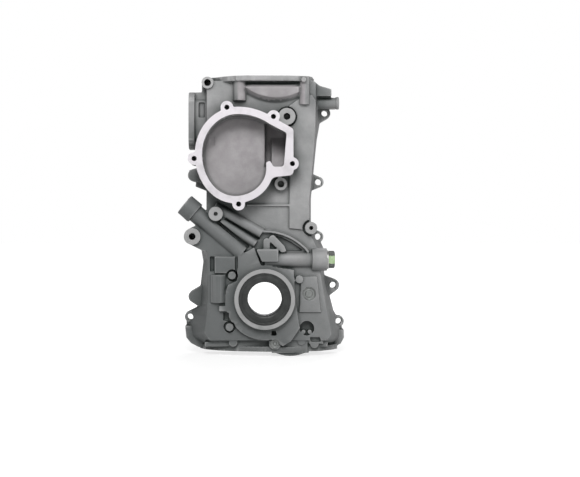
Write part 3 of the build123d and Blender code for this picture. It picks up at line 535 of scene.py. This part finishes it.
def rawCasting():
    source = nodes["front_cover"]
    bm = bmesh.new()
    bm.from_mesh(source.data)
    bmesh.ops.transform(bm, matrix=source.matrix_world, verts=bm.verts)
    bmesh.ops.remove_doubles(bm, verts=bm.verts, dist=1e-6)
    print("cover mesh", len(bm.verts), "vertices,", sum(not e.is_manifold for e in bm.edges), "open edges")
    stock, filler = skin["stock"], skin["filler"]
    for v in bm.verts:
        here = v.co.copy()
        for way, level in milledPlanes:
            if isNear(here.dot(way), level, skin["near"]):
                v.co += way * stock / 1000
        if onBoss(here, skin["near"]):
            v.co.y -= stock / 1000
    # drilled holes are filled here and drilled again after the rounding
    for place, radius, face, deep in drilled:
        addPost(bm, place, radius + filler, face - deep - filler, face + stock, 24)
    for place in railHoles["places"]:
        addPost(bm, place, railHoles["radius"] + filler, -stock, railHoles["deep"], 24)
    addBox(bm, voluteSlotFill["low"], voluteSlotFill["high"])
    addPrism(bm, stubWeb["outline"], *stubWeb["depths"])
    for outline in footCorners["outlines"]:
        addPrism(bm, outline, *footCorners["depths"])
    addBox(bm, panBand["low"], panBand["high"])
    addPlate(bm, panLip["outline"], *panLip["heights"])
    for place in headMarks["places"]:
        addPost(bm, place, headMarks["radius"], *headMarks["depths"], 24)
    piece = newPiece("coverCasting", bm)
    remesh = piece.modifiers.new("skin", "REMESH")
    remesh.mode = "VOXEL"
    remesh.voxel_size = skin["voxel"] / 1000
    smooth = piece.modifiers.new("soften", "SMOOTH")
    smooth.factor = 0.5
    smooth.iterations = skin["rounding"]
    settle(piece)
    print("raw casting", len(piece.data.polygons), "faces")
    thin = piece.modifiers.new("thin", "DECIMATE")
    thin.use_collapse_triangulate = True
    thin.ratio = min(1.0, skin["triangles"] / (2 * len(piece.data.polygons)))
    settle(piece)
    print("thinned casting", len(piece.data.polygons), "faces")
    return piece


cutter = {"left": -95, "right": 95, "foot": -75, "top": 235, "behind": -20, "front": 80, "thick": 12}
gasketPass = {"left": -90, "right": 60, "foot": 80}
inletPass = {"foot": 145, "top": 212, "front": 60}
pickupBoss = {"left": 7, "right": 44, "front": 16.9}   # it stands below the pan face and isn't milled
drillTip = {"over": 1, "railOver": 1, "railDeep": 12, "spotFace": 3}


def machine(piece):
    left, right, behind, front = cutter["left"], cutter["right"], cutter["behind"], cutter["front"]
    foot, top, thick = cutter["foot"], cutter["top"], cutter["thick"]
    panLow = panFace - thick
    passes = [  # low and high corner of what each milling pass removes
        ((gasketPass["left"], gasketPass["foot"], gasketFace),
         (gasketPass["right"], top, gasketFace + thick)),
        ((left, foot, -thick), (right, top, 0)),
        ((left, headFace, behind), (right, headFace + thick, front)),
        ((left, panLow, behind), (pickupBoss["left"], panFace, front)),
        ((pickupBoss["right"], panLow, behind), (right, panFace, front)),
        ((pickupBoss["left"] - 1, panLow, behind), (pickupBoss["right"] + 1, panFace, pickupBoss["front"])),
        ((inletFace - thick, inletPass["foot"], behind), (inletFace, inletPass["top"], inletPass["front"])),
    ]
    for low, high in passes:
        mill = bmesh.new()
        addBox(mill, low, high)
        combine(piece, newPiece("millCutter", mill), "DIFFERENCE")
    facer = bmesh.new()
    for place, reach, face in bossFaces:
        addPost(facer, place, reach, face, face + drillTip["spotFace"], 96)
    combine(piece, newPiece("spotFacer", facer), "DIFFERENCE")
    drills = bmesh.new()
    for place, radius, face, deep in drilled:
        addPost(drills, place, radius, face - deep, face + drillTip["over"], 32)
    for place in railHoles["places"]:
        addPost(drills, place, railHoles["radius"], -drillTip["railOver"], drillTip["railDeep"], 32)
    combine(piece, newPiece("drill", drills), "DIFFERENCE")
    reamer = bmesh.new()
    for start, stop, radius in reamed:
        addRod(reamer, start, stop, radius, 40)
    combine(piece, newPiece("reamer", reamer), "DIFFERENCE")


# where the skin is the paler copy with less painted shade, painted light: the volute's floor, its outlet and
# the pad under the head face
voluteFloor = {"centre": (-25, 140), "radius": 46, "depths": (33, 37)}
paleBoxes = [  # low and high corner as (x, z, ahead)
    ((-4, 127, 12), (26, 196, 34)),
    ((-27, 193, 41), (40, 216, 60)),
]


def inHole(centre):
    place, ahead, gap = flatPlace(centre), -centre.y * 1000, skin["near"]
    for hole, radius, face, deep in drilled:
        if math.dist(place, hole) < radius + gap and face - deep - gap < ahead < face + gap:
            return True
    return any(math.dist(place, hole) < railHoles["radius"] + gap for hole in railHoles["places"])


def inLitPatch(centre):
    (x, z), ahead = flatPlace(centre), -centre.y * 1000
    shallow, deepest = voluteFloor["depths"]
    if math.dist((x, z), voluteFloor["centre"]) < voluteFloor["radius"] and shallow < ahead < deepest:
        return True
    return any(all(a < b < c for a, b, c in zip(low, (x, z, ahead), high)) for low, high in paleBoxes)


def finishOf(centre, normal):
    if any(normal.dot(way) > 0.999 and isNear(centre.dot(way), level) for way, level in milledPlanes):
        return machinedFace
    if normal.y < -0.999 and onBoss(centre):
        return machinedSeat
    if inHole(centre):
        return machinedBore
    if inLitPatch(centre):
        return litSkin
    return castSkin


def finishCover(piece):
    finishes = [castSkin, machinedFace, machinedSeat, machinedBore, litSkin]
    piece.data.materials.clear()
    for mat in finishes:
        piece.data.materials.append(mat)
    numbers = {mat.name: number for number, mat in enumerate(finishes)}
    for face in piece.data.polygons:
        face.material_index = numbers[finishOf(face.center, face.normal).name]
    softShade(piece)


casting = rawCasting()
machine(casting)
finishCover(casting)
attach(casting, "housing")
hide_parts("front_cover")
print("cover machined", len(casting.data.polygons), "faces")


# turned, pressed and moulded pieces
def roundProfile(points, radius, steps=3, closed=True):
    # rounds the corners of a profile of (radius, along) points; an open one keeps its two ends
    done = []
    count = len(points)
    for i, here in enumerate(points):
        if not closed and i in (0, count - 1):
            done.append(here)
            continue
        before, after = Vector(points[i - 1]), Vector(points[(i + 1) % count])
        corner = Vector(here)
        inward, outward = before - corner, after - corner
        cut = min(radius, 0.45 * inward.length, 0.45 * outward.length)
        start = corner + inward.normalized() * cut
        stop = corner + outward.normalized() * cut
        for k in range(steps + 1):
            t = k / steps
            done.append(tuple(start * (1 - t) ** 2 + corner * 2 * t * (1 - t) + stop * t ** 2))
    return done


def dress(piece, mat, body, slot, *replaced):
    piece.data.materials.clear()
    piece.data.materials.append(mat)
    softShade(piece)
    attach(piece, body)
    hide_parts(*replaced)


def turned(name, centre, direction, profile, count):
    bm = bmesh.new()
    addLathe(bm, centre, direction, profile, count)
    return newPiece(name, bm)


def frontCentre(node):
    low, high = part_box(node)
    return (low[0] + high[0]) / 2 * 1000, (low[2] + high[2]) / 2 * 1000


forward = (0, -1, 0)
sideways = (1, 0, 0)

crankSeal = {
    "lip": [(20.475, 43.02), (20.3, 44.6), (20.6, 45.5), (20.6, 46.3), (25.3, 46.3), (25.3, 39.2),
            (26.0, 39.2), (26.0, 47.0), (24.4, 47.0), (24.1, 46.7), (22.5, 46.7), (22.2, 47.0),
            (18.65, 47.0), (17.05, 46.3), (17.05, 45.9), (18.45, 45.2), (18.15, 44.1), (16.75, 43.0),
            (16.75, 42.2), (18.35, 40.5), (20.3, 40.5), (20.475, 41.38)],
    "case": [(25.3, 39.4), (25.3, 46.3), (20.6, 46.3), (20.6, 45.5), (24.5, 45.5), (24.5, 39.4)],
    "rounding": 0.22,
    "grooveCentre": (20.0, 42.2),
    "grooveRadius": 0.95,
    "grooveStart": -60,
    "grooveSweep": -240,
    "grooveSteps": 8,
    "springTurns": 120,
    "springCoil": 0.60,
    "springWire": 0.27,
}


def makeCrankSeal():
    look = crankSeal
    groove = []
    radius, ahead = look["grooveCentre"]
    for k in range(1, look["grooveSteps"]):
        t = math.radians(look["grooveStart"] + look["grooveSweep"] * k / look["grooveSteps"])
        groove.append((radius + look["grooveRadius"] * math.cos(t),
                       ahead + look["grooveRadius"] * math.sin(t)))
    lip = turned("sealLip", (0, 0, 0), forward, roundProfile(look["lip"], look["rounding"]) + groove, 120)
    dress(lip, blackRubber, "housing", "seal_rubber", "crank_seal_lip")
    case = turned("sealCase", (0, 0, 0), forward, roundProfile(look["case"], look["rounding"]), 120)
    dress(case, sealSteel, "housing", "plug_steel", "crank_seal_case")
    # the garter spring is a long close coil bent into a ring
    places = []
    steps = look["springTurns"] * 8
    for i in range(steps):
        around = 2 * math.pi * i / steps
        coil = around * look["springTurns"]
        out = radius + look["springCoil"] * math.cos(coil)
        places.append(spot(out * math.cos(around), out * math.sin(around),
                           ahead + look["springCoil"] * math.sin(coil)))
    spring = makeWire("garterSpring", places, look["springWire"], True)
    dress(spring, springSteel, "housing", "spring_steel", "crank_seal_spring")


makeCrankSeal()

coverScrew = {"count": 8, "headRadius": 4.5, "headTop": 10.4, "seat": 13.0, "shank": 2.4, "tip": 25.0,
              "socket": 2.2, "socketDeep": 1.5, "rounding": 0.35}


def makeCoverScrew(number):
    # a socket head screw that points forward, with its head behind the pump's cover plate
    look = coverScrew
    node = "pump_cover_screw_" + str(number)
    x, z = frontCentre(node)
    head, top, shank = look["headRadius"], look["headTop"], look["shank"]
    profile = [(0, top), (head, top), (head, look["seat"]), (shank, look["seat"]), (shank, look["tip"]),
               (0, look["tip"])]
    profile = roundProfile(profile, look["rounding"], closed=False)
    screw = turned("coverScrew" + str(number), (x, z, 0), forward, profile, 40)
    bm = bmesh.new()
    addPrism(bm, circlePoints(x, z, look["socket"], 6), top - 1, top + look["socketDeep"])
    combine(screw, newPiece("socketTool", bm), "DIFFERENCE")
    dress(screw, darkSteel, "housing", "screw_steel", node)


for number in range(1, coverScrew["count"] + 1):
    makeCoverScrew(number)

cupPlug = {"back": 36.0, "front": 39.0, "rim": 0.8, "dish": 1.2, "dishOuter": 1.2, "dishInner": 2.7,
           "island": 3.2, "islandDrop": 0.1, "rounding": 0.4}


def makeCupPlug(node, name):
    # a pressed cup whose rim stands round a ring-shaped dish; rim, dish and island are measured inward
    look = cupPlug
    low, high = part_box(node)
    radius = (high[0] - low[0]) / 2 * 1000
    front, dish, island = look["front"], look["front"] - look["dish"], look["front"] - look["islandDrop"]
    profile = [(0, look["back"]), (radius, look["back"]), (radius, front), (radius - look["rim"], front),
               (radius - look["dishOuter"], dish), (radius - look["dishInner"], dish),
               (radius - look["island"], island), (0, island)]
    profile = roundProfile(profile, look["rounding"], closed=False)
    plug = turned(name, (*frontCentre(node), 0), forward, profile, 64)
    dress(plug, pressedSteel, "housing", "plug_steel", node)


makeCupPlug("gallery_cup_plug", "galleryCup")
makeCupPlug("suction_cup_plug", "suctionCup")

reliefAxis = (39.0, 36.0)   # height and depth of the relief valve's bore
reliefPlug = {"inner": 49.0, "seat": 63.5, "end": 69.7, "pocket": 5.0, "thread": 7.0, "root": 6.35,
              "pitch": 1.5, "threadLead": 0.6, "threadEnd": 0.8, "neck": 6.6, "neckLong": 1.4,
              "acrossFlats": 15.0, "seatChamfer": (0.9, 0.5), "endChamfer": (1.2, 0.66), "dimple": 2.6,
              "dimpleFloor": 1.9, "dimpleDeep": 0.6}
crushWasher = {"inner": 7.1, "outer": 9.5, "thick": 1.5, "rounding": 0.35}


def makeReliefPlug():
    look = reliefPlug
    z, ahead = reliefAxis
    inner, seat, end = look["inner"], look["seat"], look["end"]
    corner = look["acrossFlats"] / 2 / math.cos(math.pi / 6)
    profile = [(0, inner + look["pocket"]), (look["pocket"], inner + look["pocket"]), (look["pocket"], inner),
               (look["root"], inner)]
    along = inner + look["threadLead"]
    while along < seat - look["pitch"] - look["threadEnd"]:
        profile += [(look["root"], along), (look["thread"], along + look["pitch"] / 2),
                    (look["root"], along + look["pitch"])]
        along += look["pitch"]
    seatIn, seatLong = look["seatChamfer"]
    endIn, endLong = look["endChamfer"]
    profile += [(look["neck"], seat - look["neckLong"]), (look["neck"], seat), (corner - seatIn, seat),
                (corner, seat + seatLong), (corner, end - endLong), (corner - endIn, end),
                (look["dimple"], end), (look["dimpleFloor"], end - look["dimpleDeep"]),
                (0, end - look["dimpleDeep"])]
    plug = turned("reliefPlugHex", (0, z, ahead), sideways, profile, 72)
    # the round blank is cut to a hexagon
    bm = bmesh.new()
    hexagon = circlePoints(0, 0, corner, 6, math.pi / 2)
    addBetween(bm, [spot(inner - 2, z + up, ahead + out) for out, up in hexagon],
               [spot(end + 2, z + up, ahead + out) for out, up in hexagon])
    combine(plug, newPiece("hexBar", bm), "INTERSECT")
    dress(plug, plugSteel, "housing", "green_plating", "relief_plug")
    small, large, base = crushWasher["inner"], crushWasher["outer"], seat - crushWasher["thick"]
    profile = [(small, base), (large, base), (large, seat), (small, seat)]
    profile = roundProfile(profile, crushWasher["rounding"])
    washer = turned("crushWasher", (0, z, ahead), sideways, profile, 72)
    dress(washer, softWasher, "housing", "washer_metal", "relief_plug_washer")


makeReliefPlug()

reliefSpring = {"start": 6.75, "stop": 53.25, "radius": 3.9, "wire": 0.68, "turns": 12, "deadTurns": 1.5,
                "turnSteps": 24, "travel": 9.0}


def makeReliefSpring():
    # a coil with closed ends, built at one length; the real spring shortens as the valve opens
    look = reliefSpring
    z, ahead = reliefAxis
    full = look["stop"] - look["start"]
    dead = look["deadTurns"] * look["wire"] * 2
    places = []
    steps = look["turns"] * look["turnSteps"]
    for i in range(steps + 1):
        turn = look["turns"] * i / steps
        if turn < look["deadTurns"]:
            along = dead * turn / look["deadTurns"]
        elif turn > look["turns"] - look["deadTurns"]:
            along = full - dead * (look["turns"] - turn) / look["deadTurns"]
        else:
            share = (turn - look["deadTurns"]) / (look["turns"] - 2 * look["deadTurns"])
            along = dead + (full - 2 * dead) * share
        t = 2 * math.pi * turn
        places.append(spot(look["start"] + along, z + look["radius"] * math.sin(t),
                           ahead + look["radius"] * math.cos(t)))
    spring = makeWire("reliefSpringCoil", places, look["wire"])
    dress(spring, springSteel, "housing", "spring_steel", "relief_spring")
    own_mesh(spring)


makeReliefSpring()
print("seal, screws and plugs made")

# pieces that keep the part's own shape
finishes = {
    "relief_valve": groundSteel, "upper_dowel": groundSteel, "lower_dowel": groundSteel,
    "inner_rotor": sinteredSteel, "outer_rotor": sinteredSteel, "pump_cover": groundSteel,
    "coolant_port_seal": blackRubber,
}
for name, mat in finishes.items():
    for place in nodes[name].material_slots:
        place.material = mat
print("finishes given to", len(finishes), "nodes")

# floor, light and camera are in metres
studio = {"floorDrop": 0.0002, "floorSize": 4.0, "floorPale": (0.50, 0.50, 0.50),
          "floorDull": (0.46, 0.46, 0.46), "floorCloud": 90, "floorGlow": 0.68, "shadowReach": 0.45,
          "worldFill": 0.20}
lamps = {"aim": (0, -0.03, 0.08),
         "key": {"place": (-0.10, -1.05, 0.84), "size": (0.55, 0.5), "power": 10.5},
         "fill": {"place": (0.9, -0.9, 0.3), "size": (0.9, 0.9), "power": 3.2},
         "rim": {"place": (0.2, 0.8, 0.7), "size": (0.8, 0.5), "power": 4.0}}
lens = {"place": (-0.0042, -1.034, 0.0833), "length": 62.07, "sensor": 36, "shift": (0.0509, -0.0405)}


def makeFloor():
    # it glows for what looks at it, dimmer near the object so that the shadow stays
    bm = bmesh.new()
    bmesh.ops.create_circle(bm, cap_ends=True, segments=96, radius=studio["floorSize"])
    floor = newPiece("floor", bm)
    floor.location.z = cadBox[0][2] - studio["floorDrop"]
    mat, shader = startMaterial("paleFloor")
    path = addNode(mat, "LightPath", {})
    seen = mathOf(mat, "MAXIMUM", path.outputs["Is Camera Ray"], path.outputs["Is Glossy Ray"])
    seen = mathOf(mat, "MAXIMUM", seen, path.outputs["Is Transmission Ray"])
    away = vectorOf(mat, "LENGTH", placeOn(mat))
    reach = studio["shadowReach"]
    glow = mathOf(mat, "MULTIPLY", stretch(mat, away, reach / 2, reach, studio["floorGlow"], 1.0), seen)
    tone = mixColour(mat, noiseOf(mat, studio["floorCloud"], 3), studio["floorPale"], studio["floorDull"])
    feed(mat, shader, Base_Color=tone, Roughness=0.9, Emission_Color=(1, 1, 1), Emission_Strength=glow)
    floor.data.materials.append(mat)


def addLamp(name, place, size, power):
    data = bpy.data.lights.new(name, "AREA")
    data.shape = "RECTANGLE"
    data.size, data.size_y = size
    data.energy = power
    lamp = addObject(name, data)
    lamp.location = place
    lamp.rotation_euler = (Vector(lamps["aim"]) - Vector(place)).to_track_quat("-Z", "Y").to_euler()


def makeWorld():
    # white for the camera, and a plain soft fill for the object
    world = bpy.data.worlds.new("studio")
    bpy.context.scene.world = world
    world.use_nodes = True
    world.node_tree.nodes.clear()
    soft = addNode(world, "Background", {"Color": (1, 1, 1, 1), "Strength": studio["worldFill"]})
    white = addNode(world, "Background", {"Color": (1, 1, 1, 1), "Strength": 1.0})
    path = addNode(world, "LightPath", {})
    chosen = addNode(world, "MixShader", {0: path.outputs["Is Camera Ray"], 1: soft.outputs[0],
                                          2: white.outputs[0]})
    addNode(world, "OutputWorld", {"Surface": chosen.outputs[0]})


def makeCamera():
    data = bpy.data.cameras.new("camera")
    data.lens = lens["length"]
    data.sensor_width = lens["sensor"]
    data.shift_x, data.shift_y = lens["shift"]
    camera = addObject("camera", data)
    camera.location = lens["place"]
    camera.rotation_euler = (math.radians(90), 0, 0)
    bpy.context.scene.camera = camera


makeFloor()
for name in ("key", "fill", "rim"):
    addLamp(name, **lamps[name])
makeWorld()
makeCamera()
bpy.context.scene.view_settings.view_transform = "Standard"
print("studio set up")
